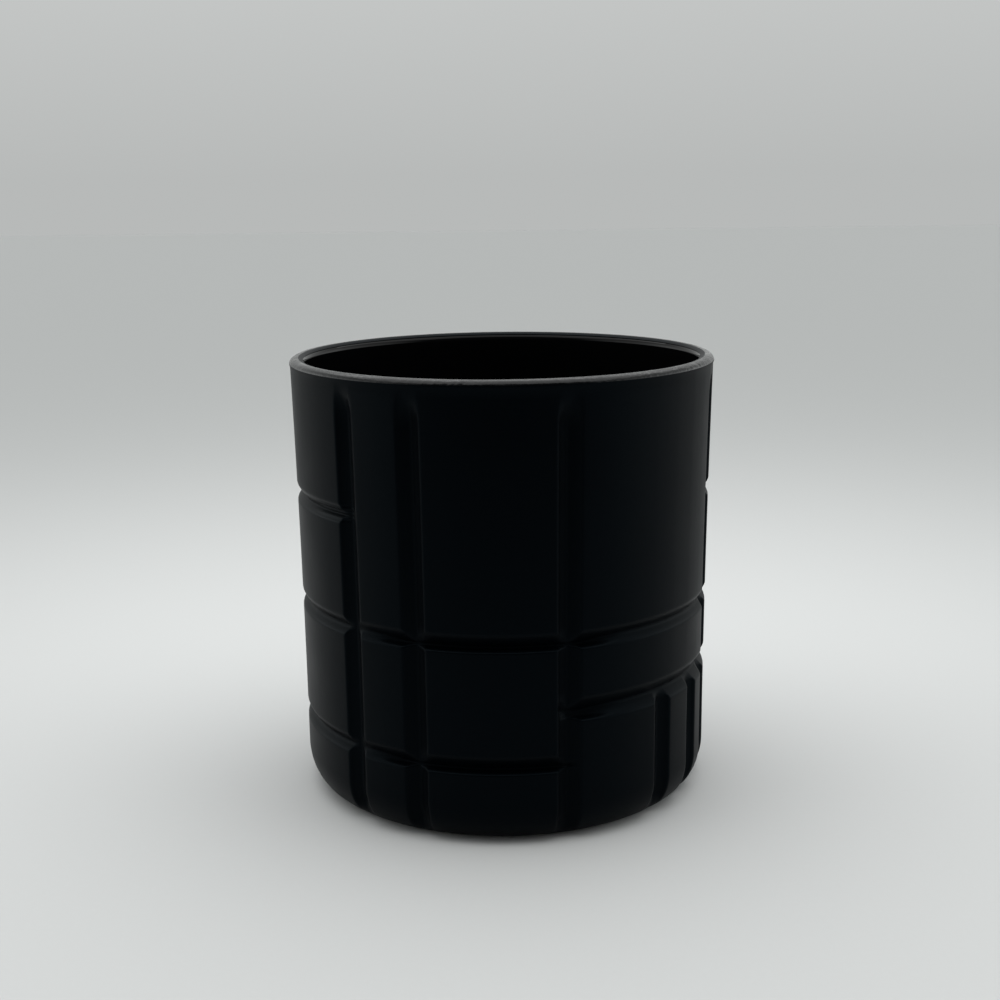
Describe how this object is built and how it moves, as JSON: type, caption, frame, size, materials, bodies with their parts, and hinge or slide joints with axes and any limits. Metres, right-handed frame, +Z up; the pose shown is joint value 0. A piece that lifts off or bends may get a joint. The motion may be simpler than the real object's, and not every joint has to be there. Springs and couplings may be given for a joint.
{
  "type": "candle jar",
  "caption": "Round straight-sided candle jar of heavy pressed glass with raised panels between rounded grooves, black outside and in, open at the top, to hold poured wax and a wick.",
  "frame": {"origin": "centre of the plane that the jar stands on, on the jar's axis", "axes": "+Z up along the jar's axis, out of its mouth; -Y is the middle of the front"},
  "size_m": [0.082, 0.082, 0.085],
  "materials": {
    "glass": "gloss, black because the lacquer shows through it",
    "black_lacquer": "satin black sprayed lacquer"
  },
  "bodies": {
    "root": {"glass_body": "glass", "outer_coat": "black_lacquer", "base_coat": "black_lacquer"}
  },
  "joints": []
}
